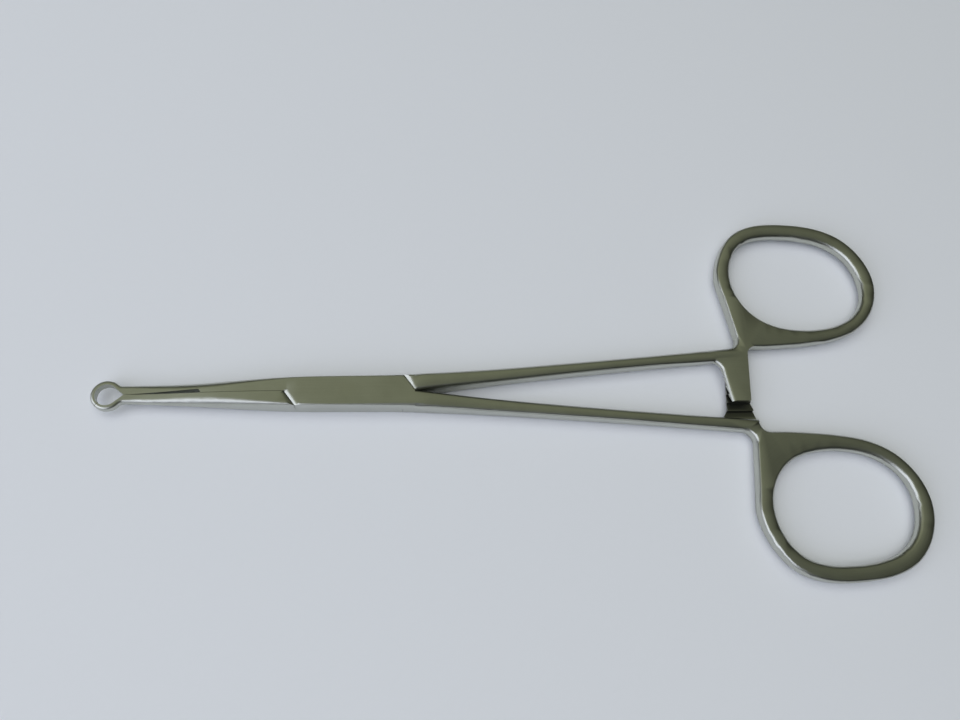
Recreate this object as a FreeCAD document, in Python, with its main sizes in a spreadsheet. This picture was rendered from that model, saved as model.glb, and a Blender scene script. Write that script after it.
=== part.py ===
import FreeCAD, Part
import math
import os
import Sketcher
from FreeCAD import Placement, Rotation, Vector

# Ringed vas deferens forceps, lying flat and closed on the first ratchet click.
# Two forged halves cross in a half-lap joint on one pivot screw. +X runs from the tip ring
# to the finger rings, +Z is up, and the origin is at the middle of the length on the resting
# plane. Each half is one forging: jaw, lap plate, shank, finger ring and ratchet bar. Its
# plan is drawn from the pivot, and both halves move to the origin at the end.

SIZES = [
    # Joint
    ("joint_thickness", 4.4, "thickness of the two lap plates together"),
    ("joint_width", 5.4, "width across the joint at the pivot"),
    ("joint_rear_width", 6.0, "width across the joint where the shanks part"),
    ("joint_half_length", 11.3, "pivot to the end of each step, on the centre line"),
    ("step_lean", 35.5, "lean of the steps from square, degrees"),
    ("step_gap", 0.08, "gap between a lap plate and the other half's shoulder"),
    ("lap_gap", 0.04, "running gap between the two lap plates"),
    ("step_bevel_width", 0.7, "width of the bevel on the step edges that face the jaws"),
    ("step_bevel_depth", 0.4, "depth of that bevel"),
    ("shoulder_bevel", 0.7, "width of the bevel on the jaws' step edge"),
    ("edge_break", 0.12, "width of the broken edge on the other step edges"),
    # Jaws
    ("closing_gap", 0.06, "gap along the closing line of the jaws"),
    ("jaw_root_reach", 11.0, "pivot to where the jaws begin to thin"),
    ("jaw_root_width", 5.1, "width of both jaws there"),
    ("jaw_middle_reach", 26.0, "pivot to the middle of the jaws"),
    ("jaw_middle_width", 3.9, "width of both jaws there"),
    ("jaw_middle_thickness", 3.1, "thickness there"),
    ("neck_outside", 1.3, "closing line to the second jaw's outer edge at the tip ring"),
    ("neck_rise", 0.4, "how much wider the first jaw is there"),
    ("neck_round", 0.9, "radius where the jaws widen into the tip ring"),
    ("jaw_neck_round", 0.7, "corner radius of the jaws at the tip ring"),
    ("jaw_middle_round", 1.35, "corner radius at the middle of the jaws"),
    ("joint_edge_round", 0.45, "corner radius at the front of the joint"),
    ("joint_rear_round", 0.6, "corner radius at the joint's rear end"),
    ("relief_start", 37.3, "pivot to the tip end of the closing edge's relief"),
    ("relief_end", 25.2, "pivot to the step that ends the relief"),
    ("relief_depth", 0.65, "depth of the relief, and radius of its rounded step"),
    # Tip ring
    ("tip_reach", 40.55, "pivot to the centre of the tip ring"),
    ("tip_hole", 3.7, "bore of the tip ring"),
    ("tip_wall", 0.75, "radial width of the tip ring"),
    ("throat_reach", 2.8, "bore's centre to the point that it runs out to"),
    ("tip_thickness", 1.7, "thickness of the tip ring"),
    ("tip_edge_round", 0.5, "corner radius round the tip ring"),
    ("tip_split_angle", 228.0, "where the two arcs of the tip ring meet, degrees"),
    ("tip_split_gap", 0.06, "gap between the two arcs"),
    # Shanks
    ("shank_root_reach", 20.0, "pivot to the root of the shanks"),
    ("shank_root_thickness", 3.6, "thickness of a shank there"),
    ("shank_middle_reach", 40.0, "pivot to the middle of the shanks"),
    ("shank_middle_offset", 3.14, "centre line to a shank's inner edge there"),
    ("shank_middle_width", 2.05, "width of a shank there"),
    ("shank_middle_thickness", 3.1, "thickness of a shank there"),
    ("shank_end_reach", 75.6, "pivot to the shank's end under the finger ring"),
    ("shank_end_offset", 6.15, "centre line to the inner edge there"),
    ("shank_end_width", 2.35, "width of a shank there"),
    ("shank_bevel", 0.45, "width of the broken edges along shanks and ratchet bars"),
    # Finger rings
    ("ring_setback", 13.85, "shank's end to the middle of the finger rings"),
    ("ring_offset", 22.75, "centre line to the middle of a finger ring"),
    ("ring_hole_length", 28.4, "finger hole, along the instrument"),
    ("ring_hole_width", 21.2, "finger hole, across the instrument"),
    ("ring_bar", 2.85, "width of the ring's bar"),
    ("ring_bevel", 0.6, "width of the bevels round the ring's bar"),
    ("ring_thickness", 2.6, "thickness of the ring's bar"),
    ("ring_shoulder", 1.09, "fullness of the hole's outer front quarter"),
    ("ring_fullness", 1.03, "fullness of its other quarters"),
    ("sweep_level", 0.7, "share of the heel's level kept halfway to the ring's inner side"),
    ("wall_lean", 8.4, "lean of the ring's straight front wall, degrees"),
    ("wall_inset", 0.55, "the ring's foremost point to the top of that wall, lengthwise"),
    ("wall_drop", 3.6, "the ring's foremost point to the top of that wall, across"),
    ("wall_round", 2.2, "radius where that wall turns into the shank's outer edge"),
    ("heel_rise", 2.4, "shank's inner edge at its end to the ring's inner wall"),
    ("heel_round", 1.8, "radius where the shank's end turns into that wall"),
    # Ratchet
    ("bar_root_width", 5.7, "width of a ratchet bar at its root"),
    ("bar_sweep", 1.1, "how far the bar's front edge runs back towards its end"),
    ("bar_end_width", 3.5, "width of a ratchet bar at its end"),
    ("bar_overlap", 2.5, "how far a ratchet bar passes the centre line"),
    ("bar_bevel", 0.6, "width of the bevel along a ratchet bar's front edge"),
    ("bar_root_round", 2.2, "radius where the bar's front edge meets the shank"),
    ("tooth_pitch", 1.65, "pitch of the ratchet teeth"),
    ("tooth_depth", 0.5, "depth of the ratchet teeth"),
    ("tooth_land", 0.15, "flat on the tip of each tooth"),
    ("tooth_gap", 0.06, "middle plane to the tips of the teeth"),
    # Pivot screw
    ("screw_diameter", 2.4, "body of the pivot screw"),
    ("screw_running_gap", 0.04, "radial gap round the screw in the half that turns"),
    ("screw_head_diameter", 3.8, "head of the pivot screw"),
    ("screw_head_height", 0.8, "height of the head"),
    ("screw_head_gap", 0.05, "gap under and round the head"),
    ("screw_slot_width", 0.5, "width of the driver slot"),
    ("screw_slot_depth", 0.4, "depth of the driver slot"),
]

doc = FreeCAD.newDocument("vas_deferens_forceps")
sheet = doc.addObject("Spreadsheet::Sheet", "Sizes")
for row, (alias, value, meaning) in enumerate(SIZES, start=1):
    sheet.set("A%d" % row, meaning)
    sheet.set("B%d" % row, str(value))
    sheet.setAlias("B%d" % row, alias)
DERIVED = [
    ("ring_reach", "=shank_end_reach + ring_setback", "pivot to the middle of the finger rings"),
    ("bar_front_reach", "=shank_end_reach - bar_root_width", "pivot to a bar's front at its root"),
    ("pivot_reach", "=(shank_end_reach + ring_setback + ring_hole_length / 2 + ring_bar"
     " - tip_reach - tip_hole / 2 - tip_wall) / 2", "the middle of the length to the pivot"),
]
for row, (alias, rule, meaning) in enumerate(DERIVED, start=len(SIZES) + 1):
    sheet.set("A%d" % row, meaning)
    sheet.set("B%d" % row, rule)
    sheet.setAlias("B%d" % row, alias)
doc.recompute()


def size(alias):
    return float(sheet.get(alias))


UP = Vector(0, 0, 1)
LENGTHWISE = Vector(1, 0, 0)
MIDDLE = size("joint_thickness") / 2
# Cutting tools reach this far past the forging.
PAST = 60.0


def feature(name, shape):
    # A document object that carries a shape built in the forging's own frame,
    # with the middle plane of the instrument at height zero.
    made = doc.addObject("Part::Feature", name)
    made.Shape = shape
    return made


def one_solid(shape):
    if len(shape.Solids) != 1:
        raise RuntimeError("expected one solid, found %d" % len(shape.Solids))
    return shape.Solids[0]


def prism(points, bottom, top):
    # A straight prism over a plan polygon.
    corners = [Vector(across, along, bottom) for across, along in points]
    face = Part.Face(Part.makePolygon(corners + corners[:1]))
    return face.extrude(UP * (top - bottom))


def turned_over(shape):
    # The second half's form is the first one's turned over about the long axis.
    turned = shape.copy()
    turned.rotate(Vector(), LENGTHWISE, 180)
    return turned


# Jaws and joint: one smooth envelope that both halves share

def smooth_curve(points, first_tangent=None, last_tangent=None):
    curve = Part.BSplineCurve()
    if first_tangent is not None and last_tangent is not None:
        curve.interpolate(Points=points, InitialTangent=first_tangent,
                          FinalTangent=last_tangent)
    else:
        curve.interpolate(points)
    return curve.toShape()


def split_curve(points, run):
    # One smooth curve through three points, as two edges that meet at the middle one.
    curve = Part.BSplineCurve()
    curve.interpolate(Points=points, InitialTangent=run, FinalTangent=run)
    halfway = curve.parameter(points[1])
    return [curve.toShape(curve.FirstParameter, halfway),
            curve.toShape(halfway, curve.LastParameter)]


def neck_reach():
    # Pivot to where the jaws begin, at the bore's edge.
    return size("tip_reach") - size("tip_hole") / 2


def neck_corners():
    # The outer edges of the first and the second jaw at the neck.
    return (Vector(-neck_reach(), size("neck_outside") + size("neck_rise"), 0),
            Vector(-neck_reach(), -size("neck_outside"), 0))


def upright_edge(shape, point):
    # The edge that stands straight up nearest to a plan point.
    def distance(edge):
        box = edge.BoundBox
        if box.ZLength < 1 or box.XLength > 0.01 or box.YLength > 0.01:
            return PAST
        return math.hypot(box.Center.x - point.x, box.Center.y - point.y)
    return min(shape.Edges, key=distance)


def rim_edges(shape, flat_end):
    # Edges between the upright walls and the top or underside, without those of the
    # flat end at flat_end.
    rims = []
    for edge in shape.Edges:
        box = edge.BoundBox
        at_end = abs(box.XMin - flat_end) < 0.01 and abs(box.XMax - flat_end) < 0.01
        if box.ZLength < 1.5 and box.XLength + box.YLength > 0.01 and not at_end:
            rims.append(edge)
    return rims


def front_plan():
    # The tip ring's disc and both jaws back to the end of the joint, upright.
    stations = [(-size("jaw_middle_reach"), size("jaw_middle_width")),
                (-size("jaw_root_reach"), size("jaw_root_width")),
                (0.0, size("joint_width")),
                (size("joint_half_length"), size("joint_rear_width"))]
    first, second = [[neck] + [Vector(reach, side * width / 2, 0) for reach, width in stations]
                     for neck, side in zip(neck_corners(), (1, -1))]
    edges = [smooth_curve(first), smooth_curve(second),
             Part.makeLine(first[0], second[0]), Part.makeLine(first[-1], second[-1])]
    jaws = Part.Face(Part.Wire(Part.__sortEdges__(edges))).extrude(UP * 2 * PAST)
    outer = size("tip_hole") / 2 + size("tip_wall")
    disc = Part.makeCylinder(outer, 2 * PAST, Vector(-size("tip_reach"), 0, 0))
    upright = disc.fuse(jaws).removeSplitter()
    upright.translate(UP * -PAST)
    return upright


def front_profile():
    # Thickness of tip ring, jaws and joint, seen from the side. The joint is flat.
    tip = size("tip_thickness") / 2
    joint = size("joint_thickness") / 2
    tip_end = -size("tip_reach") - size("tip_hole") - size("tip_wall")
    neck = -neck_reach() + size("neck_round") * 2
    root = -size("jaw_root_reach")
    middle = -size("jaw_middle_reach")
    rear = size("joint_half_length")
    run = LENGTHWISE * (root - neck)
    edges = []
    for face in (1, -1):
        edges.append(Part.makeLine(Vector(tip_end, 0, face * tip), Vector(neck, 0, face * tip)))
        points = [Vector(neck, 0, face * tip),
                  Vector(middle, 0, face * size("jaw_middle_thickness") / 2),
                  Vector(root, 0, face * joint)]
        edges += split_curve(points, run)
        edges.append(Part.makeLine(points[-1], Vector(rear, 0, face * joint)))
    edges.append(Part.makeLine(Vector(tip_end, 0, tip), Vector(tip_end, 0, -tip)))
    edges.append(Part.makeLine(Vector(rear, 0, joint), Vector(rear, 0, -joint)))
    profile = Part.Face(Part.Wire(Part.__sortEdges__(edges))).extrude(Vector(0, 2 * PAST, 0))
    profile.translate(Vector(0, -PAST, 0))
    return profile


def rim_radius(reach):
    # Corner radius of the front's rims at the nearest place where one is given.
    stations = [(-neck_reach(), size("tip_edge_round")),
                (-neck_reach() + size("neck_round"), size("jaw_neck_round")),
                (-size("jaw_middle_reach"), size("jaw_middle_round")),
                (-size("jaw_root_reach"), size("joint_edge_round")),
                (size("joint_half_length"), size("joint_rear_round"))]
    return min(stations, key=lambda station: abs(station[0] - reach))[1]


def runs_left_round(edge):
    # Whether an edge of the front's outline runs anticlockwise, seen from above. A rim's
    # two radii at an edge are given in the direction of the rim's first edge.
    start = edge.valueAt(edge.FirstParameter)
    end = edge.valueAt(edge.LastParameter)
    return (start.x - end.x) * (start.y + end.y) > 0


def front_envelope():
    # Tip ring, both jaws and the joint as one body: plan, neck fillets, side profile,
    # then rims that are fullest at the middle of the jaws.
    solid = front_plan()
    necks = [upright_edge(solid, corner) for corner in neck_corners()]
    solid = solid.makeFillet(size("neck_round"), necks).common(front_profile())
    blank = feature("front_blank", solid)
    rounded = doc.addObject("Part::Fillet", "front_rounded")
    rounded.Base = blank
    rims = []
    for face in (1, -1):
        rim = [(number, edge) for number, edge in enumerate(solid.Edges, start=1)
               if edge.BoundBox.ZLength < 1.5 and edge.BoundBox.XLength > 0.01
               and edge.BoundBox.Center.z * face > 0]
        onward = runs_left_round(rim[0][1])
        for number, edge in rim:
            reaches = sorted([edge.BoundBox.XMin, edge.BoundBox.XMax])
            if onward == (edge.BoundBox.Center.y > 0):
                reaches.reverse()
            rims.append((number, rim_radius(reaches[0]), rim_radius(reaches[1])))
    rounded.Edges = rims
    doc.recompute()
    return rounded.Shape


def step_line(end, side, shift):
    # Two plan points of a step: on the centre line, and far out on one side.
    # end is -1 at the jaws and 1 at the shanks; shift moves the step along X.
    lean = math.tan(math.radians(size("step_lean")))
    on_line = end * size("joint_half_length") + shift
    outside = on_line - end * lean * PAST / 4
    return (on_line, 0.0), (outside, side * PAST / 4)


def step_bevel(end, side, face, facing, wide, deep):
    # A wedge along one step's edge on the top (face 1) or underside (face -1).
    # facing says which way the bevelled wall looks, -1 for the jaws.
    top = size("joint_thickness") / 2
    near, far = step_line(end, side, -facing * size("step_gap") / 2)
    start = Vector(near[0], near[1], 0)
    along = Vector(far[0], far[1], 0) - start
    along.normalize()
    inward = Vector(-facing * abs(along.y), 0, 0)
    inward = inward - along * inward.dot(along)
    inward.normalize()
    low = start + UP * (face * (top - deep))
    corner = start + UP * (face * (top + deep))
    reach_in = inward * (wide * 2) + UP * (face * deep * 2)
    wedge = Part.Face(Part.makePolygon([low, corner, low + reach_in, low]))
    return wedge.extrude(along * size("joint_rear_width"))


def relief():
    # The wedge ground off the first jaw's closing edge, so the jaws part behind the ring.
    deep = size("relief_depth")
    front = Vector(-size("relief_start"), 0, -PAST)
    step = Vector(-size("relief_end"), 0, -PAST)
    level = step + Vector(-deep, deep, 0)
    middle = step + Vector(deep * (math.sqrt(0.5) - 1), deep * math.sqrt(0.5), 0)
    across = Vector(0, -deep, 0)
    sides = [Part.makeLine(front, level), Part.Arc(level, middle, step).toShape(),
             Part.makeLine(step, step + across), Part.makeLine(step + across, front + across),
             Part.makeLine(front + across, front)]
    return Part.Face(Part.Wire(sides)).extrude(UP * 2 * PAST)


# Tip ring: two arcs that close to a ring

def tip_hole_cutter():
    # The bore, which runs out to a point between the jaws.
    radius = size("tip_hole") / 2
    centre = Vector(-size("tip_reach"), 0, -PAST)
    hole = Part.makeCylinder(radius, 2 * PAST, centre)
    touch = math.acos(radius / size("throat_reach"))
    along = centre.x + radius * math.cos(touch)
    across = radius * math.sin(touch)
    notch = prism([(along, across), (centre.x + size("throat_reach"), 0.0), (along, -across)],
                  -PAST, PAST)
    return hole.fuse(notch)


# Shank and finger ring: a plan outline, cut to the side profile, with rounded edges

def oval_point(eighth, across, fullness):
    # A point of the finger ring's outline, counted in eighths of a turn from the rear.
    # across is 0 on the hole's edge and the bar's width on the outer edge.
    angle = math.radians(45 * eighth)
    along = size("ring_hole_length") / 2 + across
    side = size("ring_hole_width") / 2 + across
    return Vector(size("ring_reach") + fullness * along * math.cos(angle),
                  size("ring_offset") + fullness * side * math.sin(angle), 0)


def finger_hole():
    # Fuller towards the front on the outer side, as the ring in the photo.
    full = size("ring_fullness")
    quarters = (full, size("ring_shoulder"), full, full)
    points = [oval_point(eighth, 0, quarters[eighth // 2] if eighth % 2 else 1.0)
              for eighth in range(8)]
    curve = Part.BSplineCurve()
    curve.interpolate(Points=points, PeriodicFlag=True)
    return Part.Face(Part.Wire(curve.toShape()))


def down_wall():
    # Direction of the ring's straight front wall, towards the shank.
    lean = math.radians(size("wall_lean"))
    return Vector(math.sin(lean), -math.cos(lean), 0)


def ring_sweep(heel):
    # The ring's outer edge, one sweep from the heel round the rear and the outer side to
    # the straight front wall.
    bar = size("ring_bar")
    full = size("ring_fullness")
    shoulder = (size("ring_shoulder") + full) / 2
    bottom = oval_point(6, bar, 1.0)
    front = oval_point(4, bar, 1.0)
    level = size("sweep_level")
    halfway = Vector((heel.x + bottom.x) / 2, heel.y * level + bottom.y * (1 - level), 0)
    points = [heel, halfway, bottom, oval_point(7, bar, 1.0), oval_point(0, bar, 1.0),
              oval_point(1, bar, full), oval_point(2, bar, 1.0), oval_point(3, bar, shoulder),
              front, wall_top()]
    return smooth_curve(points, LENGTHWISE, down_wall())


def shank_end_inner():
    return Vector(size("shank_end_reach"), size("shank_end_offset"), 0)


def shank_inner_arc():
    start = Vector(size("joint_half_length"), size("closing_gap") / 2, 0)
    middle = Vector(size("shank_middle_reach"), size("shank_middle_offset"), 0)
    return Part.Arc(start, middle, shank_end_inner())


def crossing(curve, point, direction):
    # Where a plan curve meets the straight line through a point.
    line = Part.LineSegment(point - direction * PAST, point + direction * PAST)
    met = curve.intersectCC(line)[0]
    return Vector(met.X, met.Y, 0)


def shank_inner(reach):
    # How far the shank's inner edge is from the centre line.
    return crossing(shank_inner_arc(), Vector(reach, 0, 0), Vector(0, 1, 0)).y


def shank_outer_arc(start):
    middle = Vector(size("shank_middle_reach"),
                    size("shank_middle_offset") + size("shank_middle_width"), 0)
    joint_end = Vector(size("joint_half_length"), size("joint_rear_width") / 2, 0)
    return Part.Arc(start, middle, joint_end)


def wall_top():
    front = oval_point(4, size("ring_bar"), 1.0)
    return front + Vector(size("wall_inset"), -size("wall_drop"), 0)


def wall_foot():
    # Where the ring's straight front wall meets the shank's outer edge.
    end_out = shank_end_inner() + Vector(0, size("shank_end_width"), 0)
    return crossing(shank_outer_arc(end_out), wall_top(), down_wall())


def heel_corners():
    # Start, middle and end of the round from the shank's end into the ring's inner wall.
    bend = size("heel_round")
    end = shank_end_inner() + Vector(bend, size("heel_rise"), 0)
    start = end - Vector(bend, bend, 0)
    middle = start + Vector(bend * (1 - math.sqrt(0.5)), bend * math.sqrt(0.5), 0)
    return start, middle, end


def rear_face():
    # Shank and finger ring in plan: the shank's two long arcs, its square end, the round of
    # the heel, the ring's sweep and the straight front wall down to the shank's outer edge.
    inner = shank_inner_arc()
    bend_start, bend_middle, bend_end = heel_corners()
    foot = wall_foot()
    outer = shank_outer_arc(foot)
    sides = [inner.toShape(), Part.makeLine(inner.EndPoint, bend_start),
             Part.Arc(bend_start, bend_middle, bend_end).toShape(), ring_sweep(bend_end),
             Part.makeLine(wall_top(), foot), outer.toShape(),
             Part.makeLine(outer.EndPoint, inner.StartPoint)]
    return Part.Face(Part.Wire(sides)).cut(finger_hole())


def side_profile():
    # Thickness along the shank and ring, seen from the side. It leaves the joint flat.
    far = size("ring_reach") + size("ring_hole_length")
    stations = [(size("joint_half_length"), size("joint_thickness")),
                (size("shank_root_reach"), size("shank_root_thickness")),
                (size("shank_middle_reach"), size("shank_middle_thickness")),
                (size("shank_end_reach"), size("ring_thickness")),
                (far, size("ring_thickness"))]
    run = LENGTHWISE * (size("shank_root_reach") - size("joint_half_length"))
    edges = []
    for face in (1, -1):
        points = [Vector(reach, 0, face * thick / 2) for reach, thick in stations[:-1]]
        edges.append(smooth_curve(points, run, run))
        edges.append(Part.makeLine(points[-1], Vector(far, 0, points[-1].z)))
    for reach, thick in (stations[0], stations[-1]):
        edges.append(Part.makeLine(Vector(reach, 0, thick / 2), Vector(reach, 0, -thick / 2)))
    face = Part.Face(Part.Wire(Part.__sortEdges__(edges)))
    profile = face.extrude(Vector(0, 2 * PAST, 0))
    profile.translate(Vector(0, -PAST, 0))
    return profile


def rear_forging():
    # Shank and finger ring at +Y, with the ring's bevels wider than the shank's.
    solid = rear_face().extrude(UP * 2 * PAST)
    solid = solid.makeFillet(size("wall_round"), [upright_edge(solid, wall_foot())])
    solid.translate(UP * -PAST)
    solid = solid.common(side_profile())
    blank = feature("rear_blank", solid)
    bevelled = doc.addObject("Part::Chamfer", "rear_bevelled")
    bevelled.Base = blank
    rims = rim_edges(solid, size("joint_half_length"))
    widths = []
    for number, edge in enumerate(solid.Edges, start=1):
        if any(edge.isSame(rim) for rim in rims):
            on_shank = edge.BoundBox.XMin < size("shank_middle_reach") + size("shank_root_reach")
            width = size("shank_bevel") if on_shank else size("ring_bevel")
            widths.append((number, width, width))
    bevelled.Edges = widths
    doc.recompute()
    return one_solid(bevelled.Shape)


# Ratchet bar: half as thick as the shanks, with its teeth facing the other bar

def ratchet_bar():
    # The bar of the shank at +Y, above the middle plane, with its teeth downward.
    front = size("bar_front_reach")
    tip = -size("bar_overlap")
    bend = size("bar_root_round")
    corner = shank_inner(front)
    start = Vector(front - bend, shank_inner(front - bend) + size("shank_bevel") / 2, 0)
    stop = Vector(front + size("bar_sweep") * bend / (corner - tip), start.y - bend, 0)
    middle = Vector(front - bend * (1 - math.sqrt(0.5)), start.y - bend * (1 - math.sqrt(0.5)), 0)
    root = size("shank_end_offset") + size("shank_end_width") / 2
    tip_front = Vector(front + size("bar_sweep"), tip, 0)
    tip_rear = tip_front + Vector(size("bar_end_width"), 0, 0)
    heel_start, heel_middle, heel_end = heel_corners()
    in_web = heel_end + Vector(-size("heel_round") / 2, size("heel_round") / 2, 0)
    in_shank = Vector(size("shank_end_reach") - size("ring_bevel"), root, 0)
    before = [stop, tip_front, tip_rear, heel_start]
    after = [heel_end, in_web, in_shank, Vector(start.x, root, 0), start]
    sides = [Part.makeLine(one, two) for corners in (before, after)
             for one, two in zip(corners[:-1], corners[1:])]
    sides += [Part.Arc(start, middle, stop).toShape(),
              Part.Arc(heel_start, heel_middle, heel_end).toShape()]
    plan = Part.Face(Part.Wire(Part.__sortEdges__(sides)))
    bar = plan.extrude(UP * PAST)
    bar.translate(UP * size("tooth_gap"))
    bar = bar.common(side_profile())
    bar = bar.makeChamfer(size("bar_bevel"), front_top_edges(bar, stop))
    pitch = size("tooth_pitch")
    for tooth in range(math.ceil((corner - tip) / pitch)):
        bar = bar.cut(tooth_groove(tip + tooth * pitch))
    return one_solid(bar)


def front_top_edges(bar, bend_end):
    # The bar's upper front edges: the straight one and the bend that meets it.
    def meets(edge):
        return any(math.hypot(end.X - bend_end.x, end.Y - bend_end.y) < 0.05
                   for end in edge.Vertexes)
    return [edge for edge in bar.Edges
            if meets(edge) and edge.BoundBox.ZMin > size("tooth_gap") + size("tooth_depth")]


def tooth_groove(start):
    # One sawtooth gap: an upright face that holds, then a slope up to the next tip.
    gap = size("tooth_gap")
    land = size("tooth_land")
    points = [Vector(0, start, -1), Vector(0, start, gap + size("tooth_depth")),
              Vector(0, start + size("tooth_pitch") - land, gap),
              Vector(0, start + size("tooth_pitch") - land, -1)]
    groove = Part.Face(Part.makePolygon(points + points[:1])).extrude(LENGTHWISE * PAST)
    groove.translate(LENGTHWISE * (size("bar_front_reach") - PAST / 2))
    return groove


# The first half, and the second as its turned-over twin

def tip_split():
    # Two plan wedges that share the tip ring out: the first jaw's arc runs from the
    # throat over the outer side and the front to the split, the second jaw's arc back.
    centre = Vector(-size("tip_reach"), 0, 0)
    reach = size("tip_hole") + size("tip_wall")
    gap = size("tip_split_gap") / 2

    def wedge(start_angle, end_angle):
        steps = 6
        points = [(centre.x, centre.y)]
        for step in range(steps + 1):
            angle = math.radians(start_angle + (end_angle - start_angle) * step / steps)
            points.append((centre.x + reach * math.cos(angle),
                           centre.y + reach * math.sin(angle)))
        return prism(points, -PAST, PAST)

    lean = math.degrees(gap / (size("tip_hole") / 2))
    split = size("tip_split_angle")
    throat = math.degrees(size("closing_gap") / 2 / reach)
    return wedge(throat, split - lean), wedge(split + lean, 360 - throat)


def front_share(envelope, first):
    # One half's share of the envelope, built as if its jaw lay at +Y and its plate on top.
    line = size("closing_gap") / 2
    lap = size("lap_gap") / 2
    plate_shift = size("step_gap") / 2
    far = PAST / 4
    tip = -neck_reach()
    jaw_step_in, jaw_step_out = step_line(-1, -1, plate_shift)
    shank_step_in, shank_step_out = step_line(1, 1, -plate_shift)
    plate = [(tip, line), (jaw_step_in[0], line), jaw_step_in, jaw_step_out,
             (PAST, -far), (PAST, -line), (shank_step_in[0], -line), shank_step_in,
             shank_step_out, (tip, far)]
    jaw_shoulder_in, jaw_shoulder_out = step_line(-1, 1, -plate_shift)
    jaw_side = [(tip, line), (jaw_shoulder_in[0], line), jaw_shoulder_out, (tip, far)]
    shank_shoulder_in, shank_shoulder_out = step_line(1, -1, plate_shift)
    shank_side = [(PAST, -line), (shank_shoulder_in[0], -line), shank_shoulder_out,
                  (PAST, -far)]
    share = envelope.common(prism(plate, lap, PAST))
    share = share.fuse([envelope.common(prism(jaw_side, -PAST, lap)),
                        envelope.common(prism(shank_side, -PAST, lap))])
    # The tip ring lies ahead of the neck.
    ahead = prism([(-PAST, -far), (tip, -far), (tip, far), (-PAST, far)], -PAST, PAST)
    first_arc, second_arc = tip_split()
    arc = first_arc if first else turned_over(second_arc)
    return share.fuse(envelope.common(ahead).common(arc))


def half(envelope, rear, first):
    # Built as if its jaw lay at +Y, so the shank is turned over to -Y.
    forging = front_share(envelope, first).fuse(turned_over(rear))
    forging = forging.cut(tip_hole_cutter())
    if first:
        forging = forging.cut(relief())
    wide = size("step_bevel_width")
    deep = size("step_bevel_depth")
    shoulder = size("shoulder_bevel")
    broken = size("edge_break")
    bevels = [step_bevel(-1, -1, 1, -1, wide, deep), step_bevel(1, 1, 1, 1, broken, broken),
              step_bevel(1, -1, -1, -1, wide, deep),
              step_bevel(-1, 1, -1, 1, shoulder, deep)]
    forging = forging.cut(bevels)
    return one_solid(forging)


# Pivot screw: slotted head let into the underside, end ground flush with the top

def plane_of(body, role):
    return next(plane for plane in body.Origin.OriginFeatures if plane.Role == role)


def bind(sketch, constraint, name, expression):
    index = sketch.addConstraint(constraint)
    sketch.renameConstraint(index, name)
    sketch.setExpression("Constraints." + name, expression)


def closed_outline(sketch, corners):
    # Straight lines round the corners, joined end to end.
    for one, two in zip(corners, corners[1:] + corners[:1]):
        sketch.addGeometry(Part.LineSegment(Vector(*one, 0), Vector(*two, 0)), False)
    count = len(corners)
    for number in range(count):
        sketch.addConstraint(Sketcher.Constraint("Coincident", number, 2,
                                                 (number + 1) % count, 1))
        one, two = corners[number], corners[(number + 1) % count]
        level = "Horizontal" if one[1] == two[1] else "Vertical"
        sketch.addConstraint(Sketcher.Constraint(level, number))


def pivot_screw():
    body = doc.addObject("PartDesign::Body", "pivot_screw_body")
    body.Label = "pivot_screw"
    profile = body.newObject("Sketcher::SketchObject", "screw_profile")
    profile.AttachmentSupport = [(plane_of(body, "XZ_Plane"), "")]
    profile.MapMode = "FlatFace"
    head = size("screw_head_diameter") / 2
    stem = size("screw_diameter") / 2
    rise = size("screw_head_height")
    top = size("joint_thickness")
    closed_outline(profile, [(0.0, 0.0), (head, 0.0), (head, rise), (stem, rise),
                             (stem, top), (0.0, top)])
    profile.addConstraint(Sketcher.Constraint("Coincident", 0, 1, -1, 1))
    bind(profile, Sketcher.Constraint("DistanceX", 0, 1, 0, 2, head), "head",
         "Sizes.screw_head_diameter / 2")
    bind(profile, Sketcher.Constraint("DistanceY", 1, 1, 1, 2, rise), "rise",
         "Sizes.screw_head_height")
    bind(profile, Sketcher.Constraint("DistanceX", 4, 2, 4, 1, stem), "stem",
         "Sizes.screw_diameter / 2")
    bind(profile, Sketcher.Constraint("DistanceY", 5, 2, 5, 1, top), "top",
         "Sizes.joint_thickness")
    turned = body.newObject("PartDesign::Revolution", "screw_turned")
    turned.Profile = profile
    turned.ReferenceAxis = (profile, ["V_Axis"])
    turned.Angle = 360
    doc.recompute()
    slot_plan = body.newObject("Sketcher::SketchObject", "slot_plan")
    slot_plan.AttachmentSupport = [(plane_of(body, "XY_Plane"), "")]
    slot_plan.MapMode = "FlatFace"
    half_length = size("screw_head_diameter")
    half_width = size("screw_slot_width") / 2
    closed_outline(slot_plan, [(-half_length, -half_width), (half_length, -half_width),
                               (half_length, half_width), (-half_length, half_width)])
    slot_plan.addConstraint(Sketcher.Constraint("Symmetric", 0, 1, 1, 2, -1, 1))
    bind(slot_plan, Sketcher.Constraint("DistanceX", 0, 1, 0, 2, 2 * half_length), "run",
         "Sizes.screw_head_diameter * 2")
    bind(slot_plan, Sketcher.Constraint("DistanceY", 1, 1, 1, 2, 2 * half_width), "wide",
         "Sizes.screw_slot_width")
    slot = body.newObject("PartDesign::Pocket", "screw_slot")
    slot.Profile = slot_plan
    slot.Reversed = True
    slot.setExpression("Length", "Sizes.screw_slot_depth")
    body.setExpression("Placement.Base.x", "-Sizes.pivot_reach")
    doc.recompute()
    return body


def bore(name, radius_rule, start_rule, height_rule):
    # A round cutting tool on the pivot axis, sized by the sheet.
    tool = doc.addObject("Part::Cylinder", name)
    tool.setExpression("Radius", radius_rule)
    tool.setExpression("Height", height_rule)
    tool.setExpression("Placement.Base.x", "-Sizes.pivot_reach")
    tool.setExpression("Placement.Base.z", start_rule)
    return tool


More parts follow.
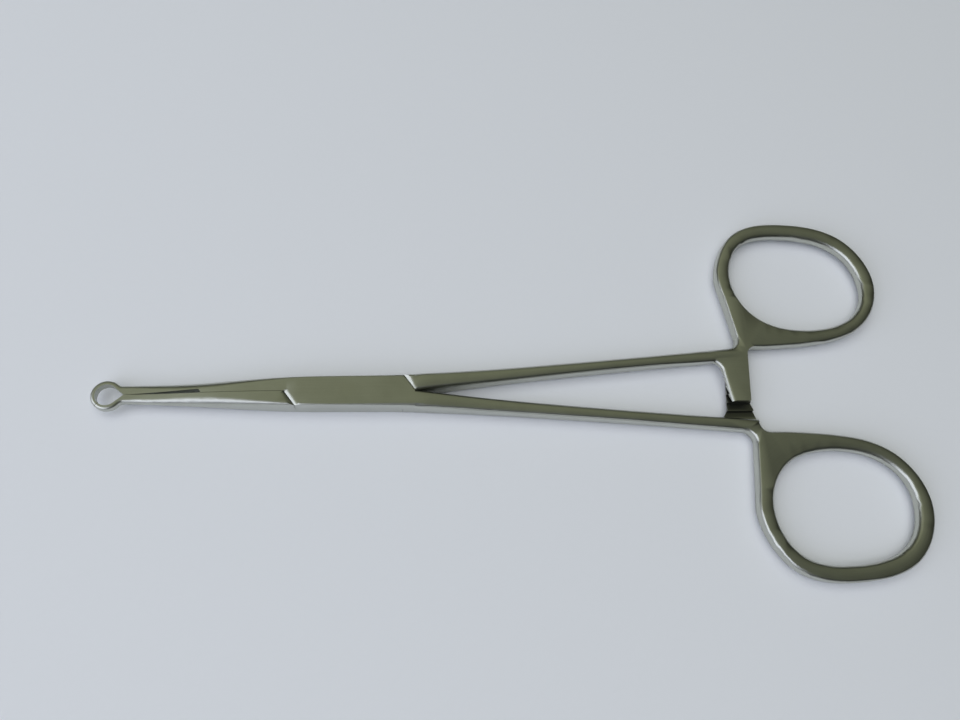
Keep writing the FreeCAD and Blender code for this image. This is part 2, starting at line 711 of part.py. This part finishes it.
def finished_half(label, blank, tool):
    made = doc.addObject("Part::Cut", label + "_bored")
    made.Label = label
    made.Base = blank
    made.Tool = tool
    made.Refine = False
    return made


envelope = front_envelope()
rear = one_solid(rear_forging().fuse(ratchet_bar()))
ring_blank = feature("ring_jaw_blank", half(envelope, rear, True))
plain_blank = feature("plain_jaw_blank",
                      turned_over(half(turned_over(envelope), rear, False)))
to_origin = Placement(Vector(-size("pivot_reach"), 0, MIDDLE), Rotation())
for blank in (ring_blank, plain_blank):
    blank.Placement = to_origin.multiply(blank.Placement)

thread_bore = bore("thread_bore", "Sizes.screw_diameter / 2", "0",
                   "Sizes.joint_thickness * 2")
running_bore = bore("running_bore", "Sizes.screw_diameter / 2 + Sizes.screw_running_gap",
                    "-Sizes.joint_thickness", "Sizes.joint_thickness * 2")
head_bore = bore("head_bore", "Sizes.screw_head_diameter / 2 + Sizes.screw_head_gap",
                 "-Sizes.joint_thickness",
                 "Sizes.joint_thickness + Sizes.screw_head_height + Sizes.screw_head_gap")
stepped_bore = doc.addObject("Part::Fuse", "stepped_bore")
stepped_bore.Base = running_bore
stepped_bore.Tool = head_bore

nodes = [finished_half("ring_jaw_half", ring_blank, thread_bore),
         finished_half("plain_jaw_half", plain_blank, stepped_bore),
         pivot_screw()]
doc.recompute()

for item in doc.Objects:
    if "Invalid" in item.State or "Error" in item.State:
        raise RuntimeError("%s failed: %s" % (item.Name, item.State))
os.makedirs("parts", exist_ok=True)
for node in nodes:
    if node.Shape.isNull() or not node.Shape.isValid():
        raise RuntimeError("%s has no valid shape" % node.Label)
    node.Shape.exportStep(os.path.join("parts", node.Label + ".step"))
    print("%s: %d solid, %.1f mm3" % (node.Label, len(node.Shape.Solids), node.Shape.Volume))
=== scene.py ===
import math

import bpy
from mathutils import Matrix, Vector


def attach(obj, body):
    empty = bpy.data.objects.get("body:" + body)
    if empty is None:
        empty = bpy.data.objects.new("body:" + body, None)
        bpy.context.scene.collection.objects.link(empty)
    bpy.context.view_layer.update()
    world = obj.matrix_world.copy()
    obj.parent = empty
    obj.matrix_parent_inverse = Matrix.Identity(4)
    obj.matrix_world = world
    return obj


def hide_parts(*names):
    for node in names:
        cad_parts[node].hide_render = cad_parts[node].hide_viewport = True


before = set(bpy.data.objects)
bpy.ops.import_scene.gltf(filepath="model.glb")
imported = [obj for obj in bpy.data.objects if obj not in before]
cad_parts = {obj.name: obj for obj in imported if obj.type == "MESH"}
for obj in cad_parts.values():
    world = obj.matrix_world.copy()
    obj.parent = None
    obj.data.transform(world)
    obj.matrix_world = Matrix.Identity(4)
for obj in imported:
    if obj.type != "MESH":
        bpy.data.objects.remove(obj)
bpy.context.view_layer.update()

# All lengths are in metres, in the forceps' own frame: +X towards the finger rings,
# +Z up, and the origin at the middle of its length on the surface that it lies on.
PIVOT = Vector((-0.031675, 0.0, 0.0))
RING_CENTRE_X = 0.057775
RING_CENTRE_Y = 0.02275
RING_HALF_LENGTH = 0.0156
RING_HALF_WIDTH = 0.0120
RING_GRAIN_X = (0.038, 0.045)
RING_GRAIN_Y = (0.0070, 0.0105)
SCREW_END = 0.0044
SCREW_END_GROUND = (SCREW_END - 0.00002, SCREW_END - 0.00001)
TEETH_START = 0.0375
TEETH_HALF_WIDTH = 0.0055
TEETH_EDGE = 0.0005
TEETH_TOP = 0.0022
TEETH_TOP_EDGE = 0.00002

# Camera, solved from the photograph for a picture of 960 by 720
CAMERA_PLACE = PIVOT + Vector((0.00200, -0.04684, 0.13573))
CAMERA_RIGHT = Vector((0.98890, -0.05833, 0.13655))
CAMERA_UP = Vector((0.00359, 0.92872, 0.37072))
CAMERA_LENS = 29.592
CAMERA_SENSOR = 36.0
CAMERA_NEAR = 0.005
CAMERA_FAR = 20.0

# Lamps: one broad window on the left, and a ceiling that fills in
WINDOW_PLACE = Vector((-0.700, -0.404, 0.560))
WINDOW_SIZE = (1.50, 0.95)
WINDOW_POWER = 7.4
WINDOW_COLOUR = (0.80, 0.835, 1.0)
CEILING_PLACE = Vector((-0.25, 0.0, 1.5))
CEILING_SIZE = (1.6, 1.6)
CEILING_POWER = 11.5
CEILING_COLOUR = (0.96, 0.97, 1.0)

# Room that the steel reflects: lit on one side, dim towards the rings, dark low down
ROOM_LIT = (0.345, 0.365, 0.245)
ROOM_DIM = (0.085, 0.092, 0.070)
ROOM_LIT_SIDE = (-0.75, 0.66, 0.0)
ROOM_FADE = (-0.7, 0.8)
WALL_SHARE = 0.12
WALL_TOP = 0.38
CEILING_EDGE = 0.80

FLOOR_SIZE = 2.4
FLOOR_DROP = 0.00001

# Grain and other marks of the finishes, in marks per metre, and how fine their noise is
GRAIN_ALONG = 90.0
GRAIN_ACROSS = 7000.0
RING_GRAIN_TURN = 1.4
CLOUDS = 260.0
SPECKS = 5200.0
TURNED_MARKS = 9000.0
FIBRES = 900.0
GRAIN_FINENESS = (3.0, 0.6)
CLOUD_FINENESS = (4.0, 0.55)
SPECK_FINENESS = (1.0, 0.5)
TURNED_FINENESS = (2.0, 0.5)
FIBRE_FINENESS = (5.0, 0.6)
GRAIN_STRENGTH = 0.10
GRAIN_DEPTH = 0.00002
FIBRE_STRENGTH = 0.05
FIBRE_DEPTH = 0.0001

PAPER = (0.775, 0.795, 0.835)
PAPER_DARK = 0.985
PAPER_ROUGHNESS = 0.9
STEEL = (0.545, 0.555, 0.50)
STEEL_DARK = 0.93
STEEL_LIGHT = 1.05
# Painted shade on the lower ratchet bar's teeth, under the upper bar: how dark it is and how fully
# it covers them
TEETH_PAINTED_SHADE = 0.25
TEETH_SHADE_COVER = 0.85
TEETH_ROUGHNESS = 0.42
SATIN_ROUGHNESS = 0.27
TURNED_ROUGHNESS = 0.28
CLOUD_ROUGHNESS = 0.08
GRAIN_ROUGHNESS = 0.06
TURNED_MARK_ROUGHNESS = 0.08

# Shares of clouds, grain and specks in the steel's tone, and of the last two in its relief
TONE_SHARES = (0.5, 0.35, 0.15)
TONE_SPREAD = (0.3, 0.7)
RELIEF_SHARES = (0.7, 0.3)

# Joining and smoothing of the dressed pieces
JOIN_DISTANCE = 2e-7
SMOOTH_ANGLE = math.radians(50)
FLAT_WEIGHT = 100
SAME_FLAT = 0.01


class Value:
    """A shader value. Python's signs on it add the Math nodes that work it out."""

    def __init__(self, finish, socket):
        self.finish = finish
        self.socket = socket

    def worked(self, operation, first, second):
        sockets = {0: first, 1: second}
        return self.finish.add("ShaderNodeMath", {"operation": operation}, sockets)

    def __add__(self, other):
        return self.worked("ADD", self, other)

    def __radd__(self, other):
        return self.worked("ADD", other, self)

    def __sub__(self, other):
        return self.worked("SUBTRACT", self, other)

    def __rsub__(self, other):
        return self.worked("SUBTRACT", other, self)

    def __mul__(self, other):
        return self.worked("MULTIPLY", self, other)

    def __rmul__(self, other):
        return self.worked("MULTIPLY", other, self)

    def __truediv__(self, other):
        return self.worked("DIVIDE", self, other)

    def __pow__(self, other):
        return self.worked("POWER", self, other)

    def __abs__(self):
        return self.worked("ABSOLUTE", self, 0.0)


class Finish:
    """A material and the one method that adds any node to it."""

    def __init__(self, name):
        self.material = bpy.data.materials.new(name)
        self.material.use_nodes = True
        self.nodes = self.material.node_tree.nodes
        self.links = self.material.node_tree.links
        self.shader = self.nodes["Principled BSDF"]

    def add(self, kind, settings, sockets, output=0):
        node = self.nodes.new(kind)
        for setting, value in settings.items():
            setattr(node, setting, value)
        for socket, value in sockets.items():
            self.feed(node.inputs[socket], value)
        return Value(self, node.outputs[output])

    def feed(self, socket, value):
        if isinstance(value, Value):
            self.links.new(value.socket, socket)
        else:
            socket.default_value = value

    def set(self, **sockets):
        for name, value in sockets.items():
            self.feed(self.shader.inputs[name.replace("_", " ")], value)

    def place(self):
        return self.add("ShaderNodeTexCoord", {}, {}, "Object")

    def apart(self, vector):
        split = self.nodes.new("ShaderNodeSeparateXYZ")
        self.links.new(vector.socket, split.inputs[0])
        return [Value(self, output) for output in split.outputs]

    def together(self, along, across, up):
        return self.add("ShaderNodeCombineXYZ", {}, {0: along, 1: across, 2: up})

    def noise(self, vector, detail, roughness):
        sockets = {"Vector": vector, "Scale": 1.0, "Detail": detail, "Roughness": roughness}
        return self.add("ShaderNodeTexNoise", {}, sockets)

    def rising(self, value, low, high):
        settings = {"interpolation_type": "SMOOTHSTEP"}
        sockets = {"Value": value, "From Min": low, "From Max": high}
        return self.add("ShaderNodeMapRange", settings, sockets)

    def blend(self, share, first, second):
        settings = {"data_type": "RGBA"}
        sockets = {0: share, 6: first, 7: second}
        return self.add("ShaderNodeMix", settings, sockets, 2)

    def level(self, share, first, second):
        return first + share * (second - first)

    def bump(self, height, strength, distance):
        sockets = {"Height": height, "Strength": strength, "Distance": distance}
        return self.add("ShaderNodeBump", {}, sockets)


def shade(colour, share):
    return tuple(channel * share for channel in colour) + (1.0,)


def satin_steel():
    # Ground steel: the grain runs lengthwise on jaws, joint and shanks, and round the
    # bar of each finger ring.
    finish = Finish("satin_steel")
    along, across, up = finish.apart(finish.place())
    straight = finish.together(along * GRAIN_ALONG, across * GRAIN_ACROSS, up * GRAIN_ACROSS)
    side = (abs(across) - RING_CENTRE_Y) / RING_HALF_WIDTH
    ahead = (along - RING_CENTRE_X) / RING_HALF_LENGTH
    reach = (side * side + ahead * ahead) ** 0.5
    depth = (reach * RING_HALF_WIDTH + up) * GRAIN_ACROSS
    round_ring = finish.together(ahead * RING_GRAIN_TURN, side * RING_GRAIN_TURN, depth)
    in_ring = finish.rising(along, *RING_GRAIN_X) * finish.rising(abs(across), *RING_GRAIN_Y)
    grain_straight = finish.noise(straight, *GRAIN_FINENESS)
    grain_round = finish.noise(round_ring, *GRAIN_FINENESS)
    grain = grain_straight + in_ring * (grain_round - grain_straight)
    cloud_place = finish.together(along * CLOUDS, across * CLOUDS, up * CLOUDS)
    cloud = finish.noise(cloud_place, *CLOUD_FINENESS)
    speck_place = finish.together(along * SPECKS, across * SPECKS, up * SPECKS)
    speck = finish.noise(speck_place, *SPECK_FINENESS)
    cloudy, grainy, speckled = TONE_SHARES
    mixed = cloud * cloudy + grain * grainy + speck * speckled
    tone = finish.rising(mixed, *TONE_SPREAD)
    ground = finish.blend(tone, shade(STEEL, STEEL_DARK), shade(STEEL, STEEL_LIGHT))
    # Painted shade: the lower ratchet bar's toothed side, under the upper bar, is painted dark to
    # stand for the shade there, and it is greased as well, so it is also made duller.
    beyond = finish.rising(along, TEETH_START - TEETH_EDGE, TEETH_START + TEETH_EDGE)
    beside = finish.rising(abs(across), TEETH_HALF_WIDTH - TEETH_EDGE, TEETH_HALF_WIDTH + TEETH_EDGE)
    above = finish.rising(up, TEETH_TOP - TEETH_TOP_EDGE, TEETH_TOP + TEETH_TOP_EDGE)
    teeth_shade_and_grease = beyond * (1.0 - beside) * (1.0 - above)
    colour = finish.blend(teeth_shade_and_grease * TEETH_SHADE_COVER, ground, shade(STEEL, TEETH_PAINTED_SHADE))
    rough = SATIN_ROUGHNESS + cloud * CLOUD_ROUGHNESS + grain * GRAIN_ROUGHNESS
    rough = finish.level(teeth_shade_and_grease, rough, TEETH_ROUGHNESS)
    finish.set(Base_Color=colour, Metallic=1.0, Roughness=rough)
    grainy, speckled = RELIEF_SHARES
    marks = grain * grainy + speck * speckled
    finish.set(Normal=finish.bump(marks, GRAIN_STRENGTH, GRAIN_DEPTH))
    return finish.material


def turned_steel():
    # The pivot screw is turned, so its marks run round its own axis, apart from its end,
    # which was ground together with the joint's face.
    finish = Finish("turned_steel")
    along, across, up = finish.apart(finish.place())
    ground = finish.rising(up, *SCREW_END_GROUND)
    east = along - PIVOT.x
    reach = (east * east + across * across) ** 0.5
    round_axis = finish.together(reach * TURNED_MARKS, up * TURNED_MARKS, 0.0)
    rings = finish.noise(round_axis, *TURNED_FINENESS)
    straight = finish.together(along * GRAIN_ALONG, across * GRAIN_ACROSS, up * GRAIN_ACROSS)
    grain = finish.noise(straight, *GRAIN_FINENESS)
    marks = finish.level(ground, rings, grain)
    colour = finish.blend(marks, shade(STEEL, STEEL_DARK), shade(STEEL, STEEL_LIGHT))
    rough = TURNED_ROUGHNESS + marks * TURNED_MARK_ROUGHNESS
    finish.set(Base_Color=colour, Metallic=1.0, Roughness=rough)
    finish.set(Normal=finish.bump(marks, GRAIN_STRENGTH, GRAIN_DEPTH))
    return finish.material


def plain_paper():
    finish = Finish("pale_paper")
    along, across, _ = finish.apart(finish.place())
    flat = finish.together(along * FIBRES, across * FIBRES, 0.0)
    fibre = finish.noise(flat, *FIBRE_FINENESS)
    colour = finish.blend(fibre, shade(PAPER, PAPER_DARK), shade(PAPER, 1.0))
    finish.set(Base_Color=colour, Roughness=PAPER_ROUGHNESS)
    finish.set(Normal=finish.bump(fibre, FIBRE_STRENGTH, FIBRE_DEPTH))
    return finish.material


def only(piece):
    bpy.ops.object.select_all(action="DESELECT")
    piece.select_set(True)
    bpy.context.view_layer.objects.active = piece


def dressed(node, name, body, material):
    # A copy of a CAD node whose loose triangles are joined, so that its rims shade as
    # one smooth round between flats that stay flat.
    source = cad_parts[node]
    piece = bpy.data.objects.new(name, source.data.copy())
    bpy.context.scene.collection.objects.link(piece)
    only(piece)
    bpy.ops.object.mode_set(mode="EDIT")
    bpy.ops.mesh.select_all(action="SELECT")
    bpy.ops.mesh.remove_doubles(threshold=JOIN_DISTANCE)
    bpy.ops.mesh.customdata_custom_splitnormals_clear()
    bpy.ops.object.mode_set(mode="OBJECT")
    bpy.ops.object.shade_smooth_by_angle(angle=SMOOTH_ANGLE)
    weigh = piece.modifiers.new("even_normals", "WEIGHTED_NORMAL")
    weigh.keep_sharp = True
    weigh.weight = FLAT_WEIGHT
    weigh.thresh = SAME_FLAT
    bpy.ops.object.modifier_apply(modifier=weigh.name)
    piece.data.materials.clear()
    piece.data.materials.append(material)
    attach(piece, body)
    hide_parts(node)
    return piece


def floor():
    bpy.ops.object.select_all(action="DESELECT")
    bpy.ops.mesh.primitive_plane_add(size=FLOOR_SIZE, location=(0.0, 0.0, -FLOOR_DROP))
    sheet = bpy.context.active_object
    sheet.name = "pale_floor"
    sheet.data.materials.append(plain_paper())


def camera():
    lens = bpy.data.cameras.new("photo_camera")
    lens.sensor_fit = "HORIZONTAL"
    lens.sensor_width = CAMERA_SENSOR
    lens.lens = CAMERA_LENS
    lens.clip_start = CAMERA_NEAR
    lens.clip_end = CAMERA_FAR
    viewer = bpy.data.objects.new("photo_camera", lens)
    bpy.context.scene.collection.objects.link(viewer)
    back = CAMERA_RIGHT.cross(CAMERA_UP)
    turn = Matrix((CAMERA_RIGHT, CAMERA_UP, back)).transposed().to_4x4()
    viewer.matrix_world = Matrix.Translation(CAMERA_PLACE) @ turn
    bpy.context.scene.camera = viewer


def broad_lamp(name, place, size, power, colour):
    # A lit rectangle that faces the forceps.
    lamp = bpy.data.lights.new(name, "AREA")
    lamp.shape = "RECTANGLE"
    lamp.size, lamp.size_y = size
    lamp.energy = power
    lamp.color = colour
    holder = bpy.data.objects.new(name, lamp)
    bpy.context.scene.collection.objects.link(holder)
    holder.location = place
    holder.rotation_euler = (-place).to_track_quat("-Z", "Y").to_euler()
    return holder


def ranged(tree, value, low, high, bottom=0.0):
    # A number that rises smoothly from bottom to 1 as value goes from low to high.
    node = tree.nodes.new("ShaderNodeMapRange")
    node.interpolation_type = "SMOOTHSTEP"
    node.inputs["From Min"].default_value = low
    node.inputs["From Max"].default_value = high
    node.inputs["To Min"].default_value = bottom
    tree.links.new(value, node.inputs["Value"])
    return node.outputs[0]


def room():
    # A ceiling that is lighter on one side, over walls that are nearly dark.
    world = bpy.data.worlds.new("plain_room")
    bpy.context.scene.world = world
    world.use_nodes = True
    tree = world.node_tree
    direction = tree.nodes.new("ShaderNodeTexCoord").outputs["Generated"]
    split = tree.nodes.new("ShaderNodeSeparateXYZ")
    tree.links.new(direction, split.inputs[0])
    side = tree.nodes.new("ShaderNodeVectorMath")
    side.operation = "DOT_PRODUCT"
    side.inputs[1].default_value = ROOM_LIT_SIDE
    tree.links.new(direction, side.inputs[0])
    ceiling = tree.nodes.new("ShaderNodeMix")
    ceiling.data_type = "RGBA"
    ceiling.inputs[6].default_value = ROOM_DIM + (1.0,)
    ceiling.inputs[7].default_value = ROOM_LIT + (1.0,)
    tree.links.new(ranged(tree, side.outputs["Value"], *ROOM_FADE), ceiling.inputs[0])
    background = tree.nodes["Background"]
    tree.links.new(ceiling.outputs[2], background.inputs["Color"])
    height_share = ranged(tree, split.outputs[2], WALL_TOP, CEILING_EDGE, WALL_SHARE)
    tree.links.new(height_share, background.inputs["Strength"])


steel = satin_steel()
screw_steel = turned_steel()
dressed("ring_jaw_half", "ring_jaw_half_satin", "ring_half", steel)
dressed("plain_jaw_half", "plain_jaw_half_satin", "plain_half", steel)
dressed("pivot_screw", "pivot_screw_turned", "ring_half", screw_steel)

floor()
camera()
broad_lamp("window_left", WINDOW_PLACE, WINDOW_SIZE, WINDOW_POWER, WINDOW_COLOUR)
# The ceiling's own light is soft and leaves no second highlight on the steel.
ceiling_light = broad_lamp("ceiling", CEILING_PLACE, CEILING_SIZE, CEILING_POWER, CEILING_COLOUR)
ceiling_light.visible_glossy = False
room()
bpy.context.scene.view_settings.view_transform = "Standard"
